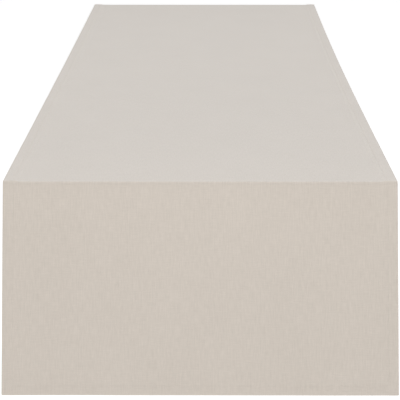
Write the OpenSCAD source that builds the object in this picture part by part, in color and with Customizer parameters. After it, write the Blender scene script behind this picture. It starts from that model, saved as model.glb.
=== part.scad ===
// Table runner: one long woven cloth, hemmed on all four sides, lying along a table with
// both of its ends hanging down over the table's ends.
// X runs across the cloth, Y along it and Z up. The origin is on the table's surface, under
// the middle of the cloth. The front end is at -Y, and left is -X.
// The cloth's face ply is drawn in five stretches: the one on the table, the two bends over
// the table's edges, and the two that hang. Under its borders lie the plies that are turned
// in for the hems, and a line of lockstitch holds them: a needle thread on the face and a
// bobbin thread on the back.

/* [Cloth] */
// Width of the finished cloth
cloth_w = 406; // [250:2:600]
// How far each end hangs down below the table's top
drop_len = 223; // [80:1:500]
// Thickness of one ply of the cloth
ply_t = 0.4; // [0.25:0.05:0.8]

/* [Table under it] */
// Length of the table top that the cloth lies along
table_len = 1840; // [600:10:2800]
// Radius of the table's eased end edges, which the cloth bends over
edge_r = 2.8; // [2:0.1:8]

/* [Hems] */
// Width of the hem on all four sides
hem_w = 12; // [8:1:30]
// Number of plies turned in under the face ply
turned_plies = 2; // [1:1:3]
// Width over which the face ply steps down beside a hem to reach the table
step_w = 1.5; // [1:0.5:4]

/* [Sewing] */
// Distance of the stitch line from the hem's inner edge
stitch_inset = 1.5; // [1:0.5:4]
// Width of the sewing thread, pressed flat by the stitch
thread_w = 0.35; // [0.2:0.05:0.6]
// Depth to which the stitch pulls the thread into the cloth
thread_t = 0.12; // [0.06:0.02:0.2]

/* [Label] */
// Length of the folded care label that shows past the hem
label_len = 30; // [15:1:60]
// Width of the care label, along the hem
label_w = 25; // [10:1:26]
// Thickness of the care label, folded double
label_t = 0.3; // [0.1:0.05:0.35]
// Length of the label's tail, which is caught under the hem
label_tail = 6; // [3:0.5:7]
// Distance of the label from the end hem
label_up = 15; // [5:1:16]

/* [Swing] */
// Gap between a hanging end and the bend above it, so that they swing clear
swing_gap = 0.3; // [0.3:0.1:0.8]

/* [Hidden] */
$fn = 96;

face_color = "#d3cbc1";
hem_color = "#c4bbb0";
needle_color = "#dcd5cb";
bobbin_color = "#b9afa3";
label_color = "#f2efe9";

half_w = cloth_w / 2;
hem_in = half_w - hem_w;               // where a side hem's inner edge lies
stitch_x = hem_in + stitch_inset;      // where a side stitch line runs
turned_t = turned_plies * ply_t;       // thickness of the turned plies
hem_t = turned_t + ply_t;              // thickness of a whole hem
table_end = table_len / 2;
hem_bend_y = table_end - edge_r;       // centre of the bend in a side hem
field_bend_y = hem_bend_y + turned_t;  // centre of the bend between the side hems
mid_r = edge_r + ply_t / 2;            // radius of the middle of the bent face ply
drop_face_y = table_end + hem_t;       // outer face of a hanging end
drop_back_y = table_end + turned_t;    // its face ply's back
top_z = -edge_r - swing_gap;
bottom_z = -drop_len;
hem_in_z = bottom_z + hem_w;           // where an end hem's inner edge lies
stitch_z = hem_in_z - stitch_inset;    // where an end stitch line runs
label_z = hem_in_z + label_up;

// The cloth's length from hem edge to hem edge, laid flat.
cloth_len = 2 * (field_bend_y + drop_len - edge_r) + PI * mid_r;
// A hanging end swings about a line at this distance out from the middle of its bend and up,
// so that the bend has its own length when the end is laid out level.
swing_out = PI / 4 * mid_r;
echo(str("cloth laid flat: ", cloth_w, " by ", cloth_len));
echo(str("swing lines: y ", field_bend_y + swing_out, ", z ", swing_out - edge_r));

// ---- ways of placing a flat drawing ----

// A section drawn as x and height over the table, carried along the table.
module along_table() {
  rotate([90, 0, 0]) linear_extrude(2 * hem_bend_y, center = true) children();
}

// The same section carried a quarter turn over the table's front edge, about centre_y.
module over_edge(centre_y) {
  translate([0, -centre_y, -edge_r])
    rotate([180, -90, 0])
      rotate_extrude(angle = 90) translate([edge_r, 0]) mirror([1, -1, 0]) children();
}

// An outline drawn as x and z, hanging at the front with its outer side at outer_y.
module hanging(outer_y, thick) {
  translate([0, -outer_y + thick, 0]) rotate([90, 0, 0]) linear_extrude(thick) children();
}

module to_back() {
  mirror([0, 1, 0]) children();
}

module to_right() {
  mirror([1, 0, 0]) children();
}

// ---- sections and outlines ----

// The face ply on the table: on the table between the hems, and stepped up over each hem.
module face_section() {
  step_x = hem_in - step_w;
  polygon([
    [-half_w, turned_t], [-hem_in, turned_t], [-step_x, 0],
    [step_x, 0], [hem_in, turned_t], [half_w, turned_t],
    [half_w, hem_t], [hem_in, hem_t], [step_x, ply_t],
    [-step_x, ply_t], [-hem_in, hem_t], [-half_w, hem_t]
  ]);
}

// The face ply over a left side hem only.
module face_border_section() {
  translate([-half_w, turned_t]) square([hem_w, ply_t]);
}

// The turned plies of a left side hem.
module turned_section() {
  translate([-half_w, 0]) square([hem_w, turned_t]);
}

module needle_section() {
  translate([-stitch_x - thread_w / 2, hem_t - thread_t]) square([thread_w, thread_t]);
}

module bobbin_section() {
  translate([-stitch_x - thread_w / 2, 0]) square([thread_w, thread_t]);
}

// The stitch line of a hanging end: down one side, along the end hem and up the other side.
module stitch_outline() {
  out = thread_w / 2;
  difference() {
    translate([-stitch_x - out, stitch_z - out])
      square([2 * (stitch_x + out), top_z - stitch_z + out]);
    translate([-stitch_x + out, stitch_z + out])
      square([2 * (stitch_x - out), top_z - stitch_z]);
  }
}

// The left side hem of a hanging end, mitred at its foot.
module side_hem_outline() {
  polygon([[-half_w, top_z], [-half_w, bottom_z], [-hem_in, hem_in_z], [-hem_in, top_z]]);
}

// The end hem, mitred at both ends.
module end_hem_outline() {
  polygon([[-half_w, bottom_z], [half_w, bottom_z], [hem_in, hem_in_z], [-hem_in, hem_in_z]]);
}

// ---- the stretch on the table ----

module table_panel() {
  color(face_color) along_table() difference() {
    face_section();
    needle_section();
    to_right() needle_section();
  }
}

module left_table_hem() {
  color(hem_color) along_table() difference() {
    turned_section();
    bobbin_section();
  }
}

module right_table_hem() {
  to_right() left_table_hem();
}

// ---- the bends over the table's edges ----

// Where the bent face ply steps from the hem's radius down to the field's.
module bend_step() {
  difference() {
    over_edge(hem_bend_y) translate([-hem_in, -edge_r]) square([step_w, edge_r + hem_t]);
    over_edge(field_bend_y) translate([-hem_in - 1, -edge_r]) square([step_w + 2, edge_r]);
    translate([-hem_in - 1, -field_bend_y, -edge_r - 1])
      cube([step_w + 2, turned_t + 1, edge_r + 1]);
  }
}

module bend_border() {
  over_edge(hem_bend_y) difference() {
    face_border_section();
    needle_section();
  }
}

module front_bend() {
  field_w = 2 * (hem_in - step_w);
  color(face_color) union() {
    over_edge(field_bend_y) translate([-field_w / 2, 0]) square([field_w, ply_t]);
    translate([-field_w / 2, -field_bend_y, 0]) cube([field_w, turned_t, ply_t]);
    bend_step();
    to_right() bend_step();
    bend_border();
    to_right() bend_border();
  }
}

module back_bend() {
  to_back() front_bend();
}

module front_left_bend_hem() {
  color(hem_color) over_edge(hem_bend_y) difference() {
    turned_section();
    bobbin_section();
  }
}

module front_right_bend_hem() {
  to_right() front_left_bend_hem();
}

module back_left_bend_hem() {
  to_back() front_left_bend_hem();
}

module back_right_bend_hem() {
  to_back() front_right_bend_hem();
}

// ---- the side stitching on the table and over its edges ----

module table_stitching() {
  along_table() children();
  over_edge(hem_bend_y) children();
  to_back() over_edge(hem_bend_y) children();
}

module left_needle_thread() {
  color(needle_color) table_stitching() needle_section();
}

module right_needle_thread() {
  to_right() left_needle_thread();
}

module left_bobbin_thread() {
  color(bobbin_color) table_stitching() bobbin_section();
}

module right_bobbin_thread() {
  to_right() left_bobbin_thread();
}

// ---- a hanging end ----

module front_drop_panel() {
  color(face_color) difference() {
    hanging(drop_face_y, ply_t)
      translate([-half_w, bottom_z]) square([cloth_w, top_z - bottom_z]);
    hanging(drop_face_y, thread_t) stitch_outline();
  }
}

module front_left_hem() {
  color(hem_color) difference() {
    hanging(drop_back_y, turned_t) side_hem_outline();
    hanging(table_end + thread_t, thread_t) stitch_outline();
  }
}

module front_right_hem() {
  to_right() front_left_hem();
}

module front_end_hem() {
  color(hem_color) difference() {
    hanging(drop_back_y, turned_t) end_hem_outline();
    hanging(table_end + thread_t, thread_t) stitch_outline();
  }
}

module front_needle_thread() {
  color(needle_color) hanging(drop_face_y, thread_t) stitch_outline();
}

module front_bobbin_thread() {
  color(bobbin_color) hanging(table_end + thread_t, thread_t) stitch_outline();
}

// ---- the other hanging end, with the care label under its right hem ----

module back_drop_panel() {
  to_back() front_drop_panel();
}

module back_left_hem() {
  to_back() front_left_hem();
}

module back_right_hem() {
  difference() {
    to_back() front_right_hem();
    care_label();
  }
}

module back_end_hem() {
  to_back() front_end_hem();
}

module back_needle_thread() {
  to_back() front_needle_thread();
}

module back_bobbin_thread() {
  to_back() front_bobbin_thread();
}

// Lies on the back of the face ply, with its tail between that ply and the turned plies.
module care_label() {
  color(label_color) translate([hem_in - label_len, drop_back_y - label_t, label_z])
    cube([label_len + label_tail, label_t, label_w]);
}

table_panel();
front_bend();
back_bend();
left_table_hem();
right_table_hem();
front_left_bend_hem();
front_right_bend_hem();
back_left_bend_hem();
back_right_bend_hem();
left_needle_thread();
right_needle_thread();
left_bobbin_thread();
right_bobbin_thread();
front_drop_panel();
front_left_hem();
front_right_hem();
front_end_hem();
front_needle_thread();
front_bobbin_thread();
back_drop_panel();
back_left_hem();
back_right_hem();
back_end_hem();
back_needle_thread();
back_bobbin_thread();
care_label();
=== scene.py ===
import math

import bpy
import numpy as np
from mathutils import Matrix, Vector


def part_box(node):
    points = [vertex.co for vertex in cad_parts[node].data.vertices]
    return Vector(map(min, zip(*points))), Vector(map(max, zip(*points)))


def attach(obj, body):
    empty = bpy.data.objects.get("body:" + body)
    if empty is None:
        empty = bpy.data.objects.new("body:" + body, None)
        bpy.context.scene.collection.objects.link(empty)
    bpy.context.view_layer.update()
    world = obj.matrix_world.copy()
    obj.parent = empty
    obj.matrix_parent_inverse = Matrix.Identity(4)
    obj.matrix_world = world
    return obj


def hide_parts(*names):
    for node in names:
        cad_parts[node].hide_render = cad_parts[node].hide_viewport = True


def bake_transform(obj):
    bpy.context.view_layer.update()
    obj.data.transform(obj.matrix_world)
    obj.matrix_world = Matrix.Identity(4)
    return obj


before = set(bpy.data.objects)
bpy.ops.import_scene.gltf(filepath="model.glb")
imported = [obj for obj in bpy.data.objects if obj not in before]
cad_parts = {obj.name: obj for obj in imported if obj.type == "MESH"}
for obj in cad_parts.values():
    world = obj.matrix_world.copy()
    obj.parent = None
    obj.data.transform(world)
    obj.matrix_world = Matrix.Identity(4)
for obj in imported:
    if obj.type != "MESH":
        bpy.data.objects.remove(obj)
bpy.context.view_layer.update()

# ---- Camera ----
# It looks down the runner's length from in front of its near end, a little above the table
# and a little to the right of its middle, through a long lens.

tilt_down = math.radians(10.752)
turn_left = math.radians(0.248)
camera_data = bpy.data.cameras.new("camera")
camera_data.sensor_width = 36.0
camera_data.lens = 193.5
camera = bpy.data.objects.new("camera", camera_data)
camera.location = (0.0091, -3.0580, 0.3876)
camera.rotation_euler = (math.pi / 2 - tilt_down, 0.0, turn_left)
bpy.context.scene.collection.objects.link(camera)
bpy.context.scene.camera = camera


# ---- The woven cloth ----
# One length of plain-woven, linen-look cloth, pressed flat and laid along the table, over both
# of its ends. Its edges are turned in twice and stitched, with mitred corners. Two halves meet
# across the table's middle, because each half bends about one end of the table.

mm = 0.001
half_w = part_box("table_panel")[1].x
hem_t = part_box("table_panel")[1].z
hem_low, hem_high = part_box("front_left_hem")
hem_w = hem_high.x - hem_low.x
turned_t = hem_high.y - hem_low.y
ply_t = hem_t - turned_t
table_end = -hem_high.y
edge_r = -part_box("front_bend")[0].z
drop_len = -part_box("front_end_hem")[0].z
seam_low, seam_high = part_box("right_needle_thread")
seam_in = half_w - (seam_low.x + seam_high.x) / 2   # from the edge to the stitch line

flat_len = table_end - edge_r + turned_t            # from the middle to the bend
bend_len = math.pi / 2 * (edge_r + ply_t / 2)
half_len = flat_len + bend_len + drop_len - edge_r  # from the middle to the end hem's edge

step_w = 5 * mm            # the face ply comes down from a hem to the table over this width
corner_r = 1.1 * mm        # a turned corner isn't quite sharp
valley_t = 0.10 * mm       # the stitches pull the cloth in by this much
valley_w = 0.55 * mm
puff_t = 0.10 * mm         # the hem swells between its edge and its stitches
mitre_t = 0.45 * mm        # at a corner's mitre the foot's hem dips this far under the side hem
mitre_w = 2.2 * mm         # and comes level again over about this width
pull_at_fold = 3.4 * mm    # the side edges are drawn in where the cloth bends down in front
bow_left = 0.9 * mm        # and they bow in a little along the table
bow_right = 3.8 * mm
spread_at_foot = 1.7 * mm  # and spread out a little where it hangs free
table_wave_t = 0.11 * mm   # slow waves stand the cloth off the table about this far
foot_wave_t = 0.28 * mm    # and off a true plane at a hanging end's foot
foot_corner_t = 0.4 * mm   # where the two corners stand off this much more
ripple_t = 0.06 * mm       # small uneven ripples along the swelling of the hem
seed_of = {"front": 11, "back": 23}   # each half has its own small waves


def smooth(t):
    """3t^2 - 2t^3, with t held between 0 and 1."""
    t = np.clip(t, 0.0, 1.0)
    return t * t * (3 - 2 * t)


def waves(x, lengths, phases):
    """The mean of sines of those wavelengths and phases along x."""
    return sum(np.sin(2 * math.pi * x / w + p) for w, p in zip(lengths, phases)) / len(lengths)


def stands_off(u, s, seed):
    """How far the cloth stands off from a true plane. On the table, two sets of slow slanting
    waves that are never below the table and fade out at its edge and in its middle. On the
    hanging end, slow upright waves that grow towards the foot, most at its two corners."""
    rng = np.random.RandomState(seed)
    from_middle, from_bend = 120 * mm, 100 * mm
    lying = smooth(s / from_middle) * smooth((flat_len - s) / from_bend)
    slanted = waves(s + 0.6 * u, (0.31, 0.19, 0.12), rng.uniform(0, 6.3, 3))
    crossing = waves(s - 1.3 * u, (0.27, 0.16, 0.09), rng.uniform(0, 6.3, 3))
    on_table = lying * table_wave_t * (2 + slanted + crossing)
    down = np.clip((s - flat_len - bend_len) / (drop_len - edge_r), 0, 1)
    upright = waves(u, (0.29, 0.17, 0.11), rng.uniform(0, 6.3, 3))
    corners = foot_corner_t * down**2 * np.abs(u / half_w) ** 8
    return on_table + down * foot_wave_t * (1 + upright) + corners


def drawn_in(u, s, back):
    """How far the side edges stray in from a straight cut, at its full size at the edge and in
    proportion nearer the middle: a long bow along the table, deeper on the right, the pull at
    the front bend fading towards the back, and the foot of each hanging end spread a little."""
    along = np.minimum(s / flat_len, 1) * (1.0 if back else -1.0)
    right = u < 0 if back else u > 0
    bow = np.where(right, bow_right, bow_left) * np.cos(math.pi / 2 * along)
    down = np.clip((s - flat_len) / (half_len - flat_len), 0, 1)
    pull = pull_at_fold * (1 - along) / 2 * (1 - down)
    return (bow + pull - spread_at_foot * down) * u / half_w


def edge_distance(u, s):
    """Distance of a point from the nearest hemmed edge: a side or the hanging end's foot."""
    return np.minimum(half_w - np.abs(u), half_len - s)


def seam_valley(e):
    """A bell-shaped groove along the stitch line."""
    return valley_t * np.exp(-(((e - seam_in) / valley_w) ** 2))


def round_edge(e):
    """How far a skin falls away towards the edge, as a half circle of the hem's thickness."""
    r = hem_t / 2
    return r - np.sqrt(np.maximum(r * r - np.maximum(r - e, 0) ** 2, 0))


def face_depth(u, s, seed):
    """Depth of the face's skin under the flat face: its rounded edge and the stitch line's
    groove, less the swelling between the two, which small uneven ripples run along."""
    e = edge_distance(u, s)
    rng = np.random.RandomState(seed + 1)
    along = np.where(half_w - np.abs(u) < half_len - s, s, u)
    ripples = waves(along, (0.0165, 0.0213, 0.0347), rng.uniform(0, 6.3, 3))
    swelling = (puff_t + ripple_t * ripples) * np.sin(math.pi * np.clip(e / seam_in, 0, 1)) ** 2
    return round_edge(e) + seam_valley(e) - swelling


def back_depth(u, s, seed):
    """Depth of the back's skin: the hem's whole thickness up to its turned edge, which is a
    quarter circle, and one ply beyond it, less the rounded rim, the stitch line's groove and
    the dip of the foot's hem beside each mitre, which is the line at 45 degrees."""
    e = edge_distance(u, s)
    fold_r = turned_t / 2
    into_fold = np.clip(e - (hem_w - fold_r), 0, fold_r)
    hem = ply_t + fold_r + np.sqrt(np.maximum(fold_r**2 - into_fold**2, 0))
    thick = np.where(e <= hem_w + 1e-9, hem, ply_t)
    past_mitre = (half_w - np.abs(u)) - (half_len - s)
    on_foot = (past_mitre > -1e-7) & (e < hem_w - 1e-7) & (e > hem_t / 2 + 1e-7)
    dip = np.where(on_foot, mitre_t * np.exp(-np.maximum(past_mitre, 0) / mitre_w), 0)
    return thick - round_edge(e) - seam_valley(e) - dip


def lay_out(u, s, depth, seed, back):
    """Carries a point of the flat cloth, u across it and s from its middle, at a depth under
    its face, to its place. Over the table it goes straight out, at the height of the ply or of
    the hem under it. Round the table's edge it turns a quarter circle about the edge's centre.
    Then it goes straight down. A corner's square is drawn in to a quarter circle. The back
    half is the front one turned half round."""
    past = np.stack([
        np.maximum(np.abs(u) - (half_w - corner_r), 0),
        np.maximum(s - (half_len - corner_r), 0),
    ])
    in_corner = past.min(axis=0) > 0
    keep = np.where(in_corner, past.max(axis=0) / np.maximum(np.hypot(*past), 1e-12), 1.0)
    u = np.sign(u) * (np.abs(u) - past[0] * (1 - keep))
    s = s - past[1] * (1 - keep)
    lift = turned_t * smooth((np.abs(u) - (half_w - hem_w - step_w)) / step_w)
    depth = depth - stands_off(u, s, seed)
    turned = np.clip((s - flat_len) / bend_len, 0, 1) * math.pi / 2
    radius = edge_r + ply_t + lift - depth
    out = np.minimum(s / flat_len, 1) * (flat_len - lift) + radius * np.sin(turned)
    up = radius * np.cos(turned) - edge_r - np.maximum(s - flat_len - bend_len, 0)
    side = 1.0 if back else -1.0
    return np.stack([-side * (u - drawn_in(u, s, back)), side * out, up], axis=-1)


def steps(start, stop, most):
    """Evenly spaced values from start up to, and without, stop, at most this far apart."""
    return np.linspace(start, stop, math.ceil(abs(stop - start) / most - 1e-6), endpoint=False)


def hem_lines():
    """Distances from an edge at which the cloth's grid has lines: close together round the
    rim, at the stitch line and round the turned fold."""
    rim = hem_t / 2 * (1 - np.cos(np.linspace(0, math.pi / 2, 6)))
    seam = seam_in + valley_w * np.array([-2.2, -1.2, -0.6, 0, 0.6, 1.2])
    fold = hem_w - turned_t / 2 * (1 - np.sin(np.linspace(0, math.pi / 2, 5)))
    beyond = hem_w + np.array([0.02, 0.5, 1.2, 2.2, 3.4, 4.8]) * mm   # it falls sheer, then eases
    return np.concatenate([rim, steps(rim[-1], seam[0], 0.9 * mm)[1:], seam, fold, beyond])


def shell(name, face, back, flat, chart):
    """A closed mesh from a face grid and a back grid that meet along three edges, with a wall
    across the fourth, at their first row. flat holds each grid point's place in the flat
    cloth, which its weave follows, and chart its place on the sheet that a finish is baked to."""
    rows, columns = face.shape[:2]
    on_rim = np.zeros((rows, columns), bool)
    on_rim[:, [0, -1]] = True
    on_rim[-1] = True
    face_at = np.arange(rows * columns).reshape(rows, columns)
    back_at = face_at.copy()
    back_at[~on_rim] = rows * columns + np.arange((~on_rim).sum())

    def quads(at):
        return np.stack([at[:-1, :-1], at[1:, :-1], at[1:, 1:], at[:-1, 1:]], -1).reshape(-1, 4)

    wall = np.stack([face_at[0, :-1], face_at[0, 1:], back_at[0, 1:], back_at[0, :-1]], -1)
    polygons = quads(face_at).tolist() + quads(back_at)[:, ::-1].tolist() + wall[1:-1].tolist()
    polygons += [wall[0, [0, 1, 2]].tolist(), wall[-1, [0, 1, 3]].tolist()]
    mesh = bpy.data.meshes.new(name)
    mesh.from_pydata(np.concatenate([face.reshape(-1, 3), back[~on_rim]]), [], polygons)
    mesh.polygons.foreach_set("use_smooth", np.ones(len(polygons), bool))

    at = np.zeros(len(mesh.loops), np.int32)
    mesh.loops.foreach_get("vertex_index", at)
    place = np.concatenate([flat.reshape(-1, 2), flat[~on_rim]])[at].astype(np.float32)
    mesh.uv_layers.new(name="cloth").data.foreach_set("uv", place.ravel())
    on_back = np.arange(len(at)) >= 4 * (rows - 1) * (columns - 1)
    margin = 0.01
    half_sheet = [0.5 - 2 * margin, 1 - 2 * margin]
    spot = np.concatenate([chart.reshape(-1, 2), chart[~on_rim]])[at] * half_sheet + margin
    spot[:, 0] += 0.5 * on_back
    mesh.uv_layers.new(name="OFBake").data.foreach_set("uv", spot.astype(np.float32).ravel())

    ends = np.zeros(2 * len(mesh.edges), np.int32)
    mesh.edges.foreach_get("vertices", ends)
    in_wall = np.isin(ends.reshape(-1, 2), np.concatenate([face_at[0], back_at[0]])).all(axis=1)
    mesh.attributes.new("sharp_edge", "BOOLEAN", "EDGE").data.foreach_set("value", in_wall)
    mesh.update()
    made = bpy.data.objects.new(name, mesh)
    bpy.context.scene.collection.objects.link(made)
    return made


def cloth_half(name, end):
    """Lays the face's and the back's skin of one half out on one grid of lines, which are
    close together at the hems and the bend and further apart over the open cloth."""
    from_edge = hem_lines()
    open_cloth = steps(-half_w + from_edge[-1], half_w - from_edge[-1], 6.2 * mm)[1:]
    across = np.concatenate([-half_w + from_edge, open_cloth, (half_w - from_edge)[::-1]])
    along = np.concatenate([
        steps(0, flat_len - 6 * mm, 4.6 * mm),
        steps(flat_len - 6 * mm, flat_len, 1.5 * mm),
        steps(flat_len, flat_len + bend_len, bend_len / 14),
        steps(flat_len + bend_len, flat_len + bend_len + 5 * mm, 1.2 * mm),
        steps(flat_len + bend_len + 5 * mm, half_len - from_edge[-1], 3.6 * mm),
        (half_len - from_edge)[::-1],
    ])
    u, s = np.meshgrid(across, along)
    seed, back = seed_of[end], end == "back"
    face = lay_out(u, s, face_depth(u, s, seed), seed, back)
    behind = lay_out(u, s, back_depth(u, s, seed), seed, back)
    side = 1.0 if back else -1.0
    flat = np.stack([-side * u, side * s], axis=-1)
    chart = np.stack([u / (2 * half_w) + 0.5, s / half_len], axis=-1)
    return shell(name, face, behind, flat, chart)


def new_node(tree, kind, **properties):
    node = tree.nodes.new("ShaderNode" + kind)
    for name, value in properties.items():
        setattr(node, name, value)
    return node


def calculate(tree, operation, *values):
    """The result of a Math node on those numbers or sockets."""
    node = new_node(tree, "Math", operation=operation)
    for at, value in enumerate(values):
        if isinstance(value, bpy.types.NodeSocket):
            tree.links.new(value, node.inputs[at])
        else:
            node.inputs[at].default_value = value
    return node.outputs[0]


def noise_at(tree, x, y, detail=0.0):
    """Noise of unit grain on the plane, read at x, y, which are numbers or sockets."""
    point = new_node(tree, "CombineXYZ")
    for at, value in enumerate((x, y)):
        if isinstance(value, bpy.types.NodeSocket):
            tree.links.new(value, point.inputs[at])
        else:
            point.inputs[at].default_value = value
    noise = new_node(tree, "TexNoise", noise_dimensions="2D")
    noise.inputs["Scale"].default_value = 1.0
    noise.inputs["Detail"].default_value = detail
    tree.links.new(point.outputs[0], noise.inputs["Vector"])
    return noise.outputs["Fac"]


def new_material(name, roughness, specular, sheen, sheen_roughness):
    material = bpy.data.materials.new(name)
    material.use_nodes = True
    shader = material.node_tree.nodes["Principled BSDF"]
    shader.inputs["Roughness"].default_value = roughness
    shader.inputs["Specular IOR Level"].default_value = specular
    shader.inputs["Sheen Weight"].default_value = sheen
    shader.inputs["Sheen Roughness"].default_value = sheen_roughness
    return material, material.node_tree, shader


def colour_by(tree, shader, tone, dark, light):
    """The shader's colour, from dark to light as tone goes from 0 to 1."""
    mix = new_node(tree, "Mix", data_type="RGBA")
    mix.inputs[6].default_value = (*dark, 1.0)
    mix.inputs[7].default_value = (*light, 1.0)
    tree.links.new(tone, mix.inputs[0])
    tree.links.new(mix.outputs[2], shader.inputs["Base Color"])


def bump_by(tree, shader, height, distance):
    """Raises the surface by height times this distance."""
    bump = new_node(tree, "Bump")
    bump.inputs["Strength"].default_value = 1.0
    bump.inputs["Distance"].default_value = distance
    tree.links.new(height, bump.inputs["Height"])
    tree.links.new(bump.outputs[0], shader.inputs["Normal"])


def woven_cloth():
    """Plain weave: warp yarns run along the runner and weft yarns across it, each over one and
    under the next. The product of two sines of half a wave a yarn has its sign turn at every
    crossing, which says which yarn is on top, and its size says how round the yarn is there: it
    raises the bump, and it also paints shade into the colour, darker in the gaps between yarns
    and lighter on their crowns. Each yarn has a tone of its own that drifts along it, and thick
    pale or dark lengths here and there."""
    material, tree, shader = new_material("linen_look_cloth", 0.85, 0.4, 0.45, 0.45)
    shader.inputs["Sheen Tint"].default_value = (0.86, 0.93, 1.0, 1.0)
    warp_pitch, weft_pitch = 0.56 * mm, 0.62 * mm
    place = new_node(tree, "SeparateXYZ")
    tree.links.new(new_node(tree, "UVMap", uv_map="cloth").outputs[0], place.inputs[0])
    x, y = place.outputs[0], place.outputs[1]

    warp_count = calculate(tree, "DIVIDE", x, warp_pitch)
    weft_count = calculate(tree, "DIVIDE", y, weft_pitch)
    warp_yarn = calculate(tree, "FLOOR", warp_count)
    weft_yarn = calculate(tree, "FLOOR", weft_count)

    def yarn_tone(yarn, distance):
        """Neighbouring yarns read the noise some grains apart, so that their tones differ."""
        drift_len, slub_len = 14 * mm, 6 * mm
        slub_from, slub_gain = 0.62, 2.4
        drift = noise_at(tree, calculate(tree, "MULTIPLY", yarn, 3.37),
                         calculate(tree, "DIVIDE", distance, drift_len))
        slub = noise_at(tree, calculate(tree, "MULTIPLY_ADD", yarn, 5.71, 40.3),
                        calculate(tree, "DIVIDE", distance, slub_len))
        above = calculate(tree, "SMOOTH_MAX", slub, slub_from, 0.04)
        thick = calculate(tree, "SUBTRACT", above, slub_from)
        return calculate(tree, "MULTIPLY_ADD", thick, slub_gain, drift)

    warp_tone = yarn_tone(warp_yarn, y)
    weft_tone = yarn_tone(weft_yarn, x)
    warp_wave = calculate(tree, "SINE", calculate(tree, "MULTIPLY", warp_count, math.pi))
    weft_wave = calculate(tree, "SINE", calculate(tree, "MULTIPLY", weft_count, math.pi))
    crossing = calculate(tree, "MULTIPLY", warp_wave, weft_wave)
    warp_on_top = calculate(tree, "GREATER_THAN", crossing, 0.0)
    crown_height_and_gap_shade = calculate(tree, "POWER", calculate(tree, "ABSOLUTE", crossing), 0.6)

    apart = calculate(tree, "SUBTRACT", warp_tone, weft_tone)
    on_top = calculate(tree, "MULTIPLY_ADD", apart, warp_on_top, weft_tone)

    def patches(wide, long, detail):
        """Noise with a grain of that width across the runner and length along it."""
        across = calculate(tree, "DIVIDE", x, wide)
        return noise_at(tree, across, calculate(tree, "DIVIDE", y, long), detail)

    streaks = patches(1.3 * mm, 12 * mm, 1.0)
    crosswise = patches(9 * mm, 1.3 * mm, 1.0)
    clouds = patches(60 * mm, 95 * mm, 2.0)
    tone = calculate(tree, "MULTIPLY_ADD", on_top, 0.35, -0.5)
    tone = calculate(tree, "MULTIPLY_ADD", streaks, 0.75, tone)
    tone = calculate(tree, "MULTIPLY_ADD", crosswise, 0.45, tone)
    tone = calculate(tree, "MULTIPLY_ADD", clouds, 0.25, tone)
    # painted shade: the colour darkens in the gaps between yarns and lightens on their crowns, as
    # the bump does
    tone = calculate(tree, "MULTIPLY_ADD", crown_height_and_gap_shade, 0.12, tone)
    colour_by(tree, shader, tone, (0.596, 0.537, 0.474), (0.693, 0.626, 0.557))

    height = calculate(tree, "MULTIPLY_ADD", on_top, 0.5, crown_height_and_gap_shade)
    height = calculate(tree, "MULTIPLY_ADD", streaks, 0.8, height)
    bump_by(tree, shader, height, 0.05 * mm)
    return material


front_cloth = cloth_half("front_cloth", "front")
back_cloth = cloth_half("back_cloth", "back")
linen_look_cloth = woven_cloth()


def hang_from_table(piece):
    """Bakes the piece's place into its mesh."""
    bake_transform(piece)


for cloth, end in ((front_cloth, "front"), (back_cloth, "back")):
    cloth.data.materials.append(linen_look_cloth)
    hang_from_table(cloth)
    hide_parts("table_panel", "left_table_hem", "right_table_hem",
                f"{end}_bend", f"{end}_left_bend_hem", f"{end}_right_bend_hem",
                f"{end}_drop_panel", f"{end}_left_hem", f"{end}_right_hem", f"{end}_end_hem")


# ---- Needle thread ----
# The lockstitch's upper thread, spun polyester in the cloth's colour. Each stitch shows as a
# short loop on the face. It comes up through one needle hole, lies in the groove that it pulls
# in the hem, and goes down through the next.

stitch_pitch = 3.0 * mm
stitch_len = 2.7 * mm
thread_half_w = (seam_high.x - seam_low.x) / 2
thread_half_t = 0.15 * mm
dive_t = 0.22 * mm        # a stitch's two ends lie this far under the skin
lean_w = 0.05 * mm        # a stitch leans a little across its line
loop_at = np.array([-0.985, -0.72, 0.0, 0.72, 0.985])   # its rings, in halves of its length
loop_sides = 6


def stitch_places(row):
    """The middle of each stitch in a row, as u and s in the flat half, and whether it runs
    along u: rows beside the two side edges, or the one across the hanging end's foot."""
    if row == "end":
        reach = half_w - seam_in
        count = round(2 * reach / stitch_pitch)
        u = np.linspace(-reach, reach, count, endpoint=False) + reach / count
        return u, np.full(count, half_len - seam_in), True
    reach = half_len - seam_in
    count = round(reach / stitch_pitch)
    s = np.linspace(0, reach, count, endpoint=False) + reach / count / 2
    return np.full(count, (half_w - seam_in) * (1 if row == "plus" else -1)), s, False


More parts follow.
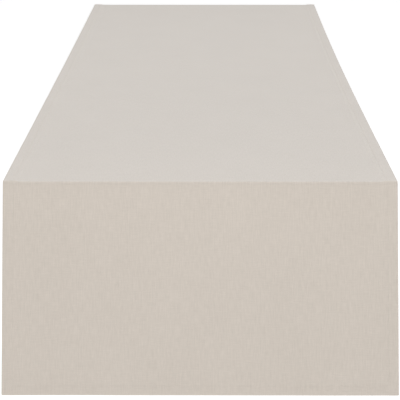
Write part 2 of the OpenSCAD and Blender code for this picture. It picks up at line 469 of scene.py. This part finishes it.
def stitches(name, row, on_face, seed, back):
    """A row of capped, six-sided loops with a few rings along each. A ring's size is the
    square root of 1 - t^4, t going from -1 to 1 along the stitch, and its middle dips under
    the skin by t^6."""
    u, s, across = stitch_places(row)
    rng = np.random.RandomState(seed + 7)
    t = loop_at[None, :, None]
    angle = (np.arange(loop_sides) * 2 * math.pi / loop_sides)[None, None, :]
    long = stitch_len / 2 * rng.uniform(0.94, 1.04, (len(u), 1, 1))
    lean = lean_w * rng.uniform(0.4, 1.6, (len(u), 1, 1))
    size = np.sqrt(1 - t**4)
    forward = t * long + 0 * angle
    sideways = lean * t + size * thread_half_w * np.cos(angle)
    proud = size * thread_half_t * np.sin(angle) - dive_t * t**6
    u_at = u[:, None, None] + (forward if across else sideways)
    s_at = s[:, None, None] + (sideways if across else forward)
    skin = (face_depth if on_face else back_depth)(u, s, seed)[:, None, None]
    depth = skin - proud if on_face else skin + proud
    points = lay_out(u_at, s_at, depth, seed, back).reshape(-1, 3)

    last_ring = (len(loop_at) - 1) * loop_sides
    first = (np.arange(len(u)) * len(loop_at) * loop_sides)[:, None, None]
    ring = first + np.arange(0, last_ring, loop_sides)[None, :, None]
    here = np.arange(loop_sides)[None, None, :]
    after = (here + 1) % loop_sides
    sides = np.stack([ring + here, ring + after,
                      ring + loop_sides + after, ring + loop_sides + here], -1).reshape(-1, 4)
    near_cap = first[:, 0] + here[0, :, ::-1]
    far_cap = first[:, 0] + last_ring + here[0]
    turned_over = across == on_face
    polygons = [p[::-1] if turned_over else p
                for p in sides.tolist() + near_cap.tolist() + far_cap.tolist()]
    mesh = bpy.data.meshes.new(name)
    mesh.from_pydata(points, [], polygons)
    mesh.polygons.foreach_set("use_smooth", np.ones(len(polygons), bool))
    at = np.zeros(len(mesh.loops), np.int32)
    mesh.loops.foreach_get("vertex_index", at)
    round_it = np.broadcast_to(angle * thread_half_w, forward.shape)
    twist = np.stack([forward.ravel(), round_it.ravel()], -1)[at].astype(np.float32)
    mesh.uv_layers.new(name="thread").data.foreach_set("uv", twist.ravel())
    made = bpy.data.objects.new(name, mesh)
    bpy.context.scene.collection.objects.link(made)
    return made


def spun_thread(name, dark, light):
    """Two plies twisted together: slanting stripes, a sine of the distance along the stitch plus
    the distance round it, which raise the bump and also paint shade into the colour, darker in
    the grooves between the plies, with fine fibres as noise drawn out along them."""
    material, tree, shader = new_material(name, 0.62, 0.4, 0.3, 0.4)
    place = new_node(tree, "SeparateXYZ")
    tree.links.new(new_node(tree, "UVMap", uv_map="thread").outputs[0], place.inputs[0])
    slant = calculate(tree, "ADD", place.outputs[0], place.outputs[1])
    twist_pitch, fibre_w, fibre_len = 0.45 * mm, 0.08 * mm, 0.5 * mm
    twist_and_groove_shade = calculate(tree, "SINE", calculate(tree, "MULTIPLY", slant, 2 * math.pi / twist_pitch))
    fibres = noise_at(tree, calculate(tree, "DIVIDE", slant, fibre_w),
                      calculate(tree, "DIVIDE", place.outputs[1], fibre_len))
    # painted shade: the colour darkens in the twist's grooves, where the bump is low
    tone = calculate(tree, "MULTIPLY_ADD", twist_and_groove_shade, 0.25, fibres)
    colour_by(tree, shader, tone, dark, light)
    bump_by(tree, shader, twist_and_groove_shade, 0.03 * mm)
    return material


needle_thread = spun_thread("needle_thread", (0.53, 0.476, 0.425), (0.74, 0.675, 0.612))
sewn_on = {"front": [], "back": []}


def sew(thread, on_face, material):
    """Rows of stitches beside both side edges and across the foot, on each half. The rows named
    plus and minus swap hands between the halves, because the back half is turned round."""
    for end, seed in seed_of.items():
        for row in ("plus", "minus", "end"):
            right = (row == "plus") == (end == "front")
            hand = "end" if row == "end" else "right" if right else "left"
            piece = stitches(f"{end}_{hand}_{thread}_stitches", row, on_face, seed, end == "back")
            piece.data.materials.append(material)
            if row == "end":
                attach(piece, f"{end}_drop")
                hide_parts(f"{end}_{thread}_thread")
            else:
                hang_from_table(piece)
                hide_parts(f"{hand}_{thread}_thread", f"{end}_{thread}_thread")
            sewn_on[end].append(piece)


sew("needle", True, needle_thread)


# ---- Bobbin thread ----
# The lockstitch's lower thread, of the same kind and a shade deeper. It lies along the back
# of the hem, and the needle thread catches it in every hole.

bobbin_thread = spun_thread("bobbin_thread", (0.46, 0.41, 0.36), (0.66, 0.60, 0.54))
sew("bobbin", False, bobbin_thread)


# ---- Care label ----
# A blank satin ribbon folded double, on the back of the cloth near the back end's right
# corner. Its two tails are caught under the side hem, and the stitch line goes through them.

label_low, label_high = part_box("care_label")
ribbon_half_t = 0.055 * mm
ribbon_gap = 0.17 * mm    # between the middles of its two layers
ribbon_off = 0.09 * mm    # from the cloth's back to the middle of the nearer layer
tail_short = 0.5 * mm     # its tails stop this far inside the length that the hem has room for
selvedge_w = 0.9 * mm     # each edge is a little thicker, at this distance in
end_taper = 0.3 * mm


def folded_ribbon(name):
    """A ribbon that goes from the hem to the fold, round a half circle and back. p is the
    distance along it, and its two skins stand a rounded half thickness to each side."""
    tail = label_high.x - tail_short
    turn_r = ribbon_gap / 2
    straight = tail - label_low.x - turn_r
    total = 2 * straight + math.pi * turn_r
    p = np.concatenate([
        np.linspace(0, straight, 27)[:-1],
        straight + np.linspace(0, math.pi * turn_r, 9),
        straight + math.pi * turn_r + np.linspace(0, straight, 27)[1:],
    ])
    wide = (label_high.z - label_low.z) / 2
    v = wide * np.sin(np.linspace(-math.pi / 2, math.pi / 2, 31))
    v, p = np.meshgrid(v, p)
    turn = np.clip((p - straight) / turn_r, 0, math.pi)
    reach = np.minimum(np.minimum(p, total - p), straight)
    u_mid = -(tail - reach) + turn_r * np.sin(turn)
    depth_mid = ply_t + ribbon_off + turn_r * (1 - np.cos(turn))
    s_at = flat_len + bend_len - edge_r - (label_low.z + label_high.z) / 2 - v
    rim = np.sqrt(np.clip(1 - (v / wide) ** 2, 0, 1)) ** 0.4
    last = np.sqrt(np.clip((total - p) / end_taper, 0, 1))
    selvedge = 1 + 0.35 * np.exp(-(((wide - np.abs(v)) / selvedge_w - 1) ** 2))
    half = ribbon_half_t * rim * last * selvedge
    skins = [lay_out(u_mid + way * half * np.sin(turn), s_at,
                     depth_mid - way * half * np.cos(turn), seed_of["back"], True)
             for way in (1, -1)]
    flat = np.stack([p, v], -1)
    chart = np.stack([v / wide / 2 + 0.5, p / total], -1)
    return shell(name, skins[0], skins[1], flat, chart)


def satin():
    """Warp-faced satin: fine lengthwise ridges and short floated yarns, which raise the bump and
    also paint light into the colour: painted shade in the ridges' valleys and uneven painted
    glints where the floated yarns stand up.
    """
    material, tree, shader = new_material("label_satin", 0.34, 0.5, 0.25, 0.3)
    place = new_node(tree, "SeparateXYZ")
    tree.links.new(new_node(tree, "UVMap", uv_map="cloth").outputs[0], place.inputs[0])
    rib_pitch, float_len, float_w = 0.2 * mm, 1.2 * mm, 0.12 * mm
    across = calculate(tree, "MULTIPLY", place.outputs[1], 2 * math.pi / rib_pitch)
    ribs_and_valley_shade = calculate(tree, "SINE", across)
    floats_and_glints = noise_at(tree, calculate(tree, "DIVIDE", place.outputs[0], float_len),
                      calculate(tree, "DIVIDE", place.outputs[1], float_w))
    # painted light: shade in the ridges' valleys and glints on the floated yarns, as well as the
    # bump
    tone = calculate(tree, "MULTIPLY_ADD", ribs_and_valley_shade, 0.15, floats_and_glints)
    colour_by(tree, shader, tone, (0.78, 0.76, 0.72), (0.90, 0.885, 0.855))
    bump_by(tree, shader, tone, 0.02 * mm)
    return material


care_label = folded_ribbon("folded_care_label")
care_label.data.materials.append(satin())
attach(care_label, "back_drop")
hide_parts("care_label")
sewn_on["back"].append(care_label)


# ---- The cut cloth ----
# Each half is a flat, finished sheet before it is laid: as wide as the runner and half as
# long, with its stitches on it, and the label on the back one. It lies on the table and
# hangs over its end.


# ---- Studio ----
# A plain white floor well below the table's height, an even white surround, a wide softbox
# overhead and a weaker one in front.

floor_z = -0.74
floor_half = 40.0
floor_mesh = bpy.data.meshes.new("floor")
floor_mesh.from_pydata([(-floor_half, -floor_half, floor_z), (floor_half, -floor_half, floor_z),
                        (floor_half, floor_half, floor_z), (-floor_half, floor_half, floor_z)],
                       [], [(0, 1, 2, 3)])
floor = bpy.data.objects.new("floor", floor_mesh)
bpy.context.scene.collection.objects.link(floor)
floor_material, floor_tree, floor_shader = new_material("pale_floor", 0.9, 0.2, 0.0, 0.5)
floor_shader.inputs["Base Color"].default_value = (0.85, 0.85, 0.85, 1)
floor_shader.inputs["Emission Color"].default_value = (1, 1, 1, 1)
floor_shader.inputs["Emission Strength"].default_value = 0.515
floor_mesh.materials.append(floor_material)

world = bpy.data.worlds.new("studio")
world.use_nodes = True
surround = world.node_tree.nodes["Background"]
surround.inputs["Color"].default_value = (1, 1, 1, 1)
seen = new_node(world.node_tree, "LightPath").outputs["Is Camera Ray"]
world.node_tree.links.new(calculate(world.node_tree, "MULTIPLY_ADD", seen, 0.48, 0.57),
                          surround.inputs["Strength"])
bpy.context.scene.world = world
bpy.context.scene.view_settings.view_transform = "Standard"


def softbox(name, place, size, power):
    data = bpy.data.lights.new(name, "AREA")
    data.shape = "SQUARE"
    data.size = size
    data.energy = power
    light = bpy.data.objects.new(name, data)
    light.location = place
    light.rotation_euler = (-light.location).to_track_quat("-Z", "Y").to_euler()
    light.visible_camera = False
    bpy.context.scene.collection.objects.link(light)


softbox("overhead", (0.05, 0.3, 3.0), 3.0, 56)
softbox("front", (0.02, -1.50, 0.45), 0.6, 1.2)
